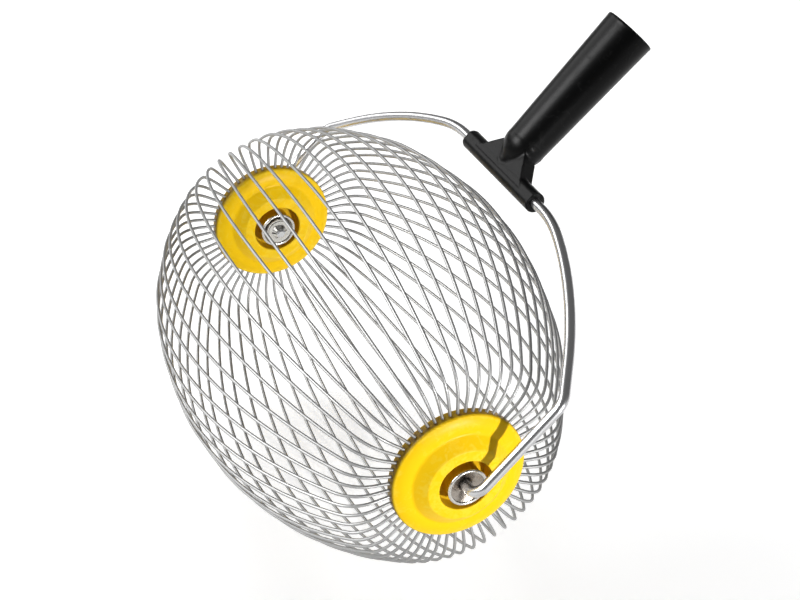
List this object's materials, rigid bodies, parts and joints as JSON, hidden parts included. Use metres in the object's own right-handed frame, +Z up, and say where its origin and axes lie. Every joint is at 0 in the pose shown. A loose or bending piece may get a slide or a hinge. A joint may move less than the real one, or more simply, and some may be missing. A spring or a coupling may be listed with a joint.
{
  "type": "nut gatherer",
  "caption": "Rolling barrel cage of sprung wires between two hub discs that picks up fallen nuts, turning on the ends of a bent rod bail with a pole socket.",
  "frame": {"origin": "on the floor under the middle of the part's box, with the cage standing on the floor", "axes": "+Z up, +Y along the axle towards the left hub, +X towards the pole"},
  "size_m": [0.2896, 0.337, 0.28],
  "materials": {
    "wire_steel": "drawn spring steel, dull grey",
    "rod_steel": "bright zinc plated",
    "fitting_steel": "pressed, zinc plated",
    "hub_yellow": "smooth moulded",
    "socket_black": "semi-gloss moulded"
  },
  "bodies": {
    "handle": {"pole_socket": "socket_black", "bail_rod": "rod_steel", "inner_washer_left": "fitting_steel", "inner_washer_right": "fitting_steel", "push_nut_left": "fitting_steel", "push_nut_right": "fitting_steel"},
    "cage": {"hub_bush_left": "fitting_steel", "hub_bush_right": "fitting_steel", "outer_disc_left": "hub_yellow", "outer_disc_right": "hub_yellow", "inner_disc_left": "hub_yellow", "inner_disc_right": "hub_yellow", "cage_wires_01": "wire_steel", "cage_wires_02": "wire_steel", "cage_wires_03": "wire_steel", "cage_wires_04": "wire_steel", "cage_wires_05": "wire_steel", "cage_wires_06": "wire_steel", "cage_wires_07": "wire_steel", "cage_wires_08": "wire_steel", "cage_wires_09": "wire_steel", "cage_wires_10": "wire_steel", "cage_wires_11": "wire_steel", "cage_wires_12": "wire_steel", "cage_wires_13": "wire_steel", "cage_wires_14": "wire_steel", "cage_wires_15": "wire_steel", "cage_wires_16": "wire_steel", "cage_wires_17": "wire_steel", "cage_wires_18": "wire_steel", "cage_wires_19": "wire_steel", "cage_wires_20": "wire_steel", "cage_wires_21": "wire_steel", "cage_wires_22": "wire_steel", "cage_wires_23": "wire_steel", "cage_wires_24": "wire_steel", "cage_wires_25": "wire_steel", "cage_wires_26": "wire_steel", "cage_wires_27": "wire_steel", "cage_wires_28": "wire_steel"}
  },
  "joints": [
    {"name": "cage_spin", "type": "hinge", "parent": "handle", "child": "cage", "pos_m": [-0.03645, 0, 0.1084], "axis": [0, 1, 0], "continuous": true}
  ]
}
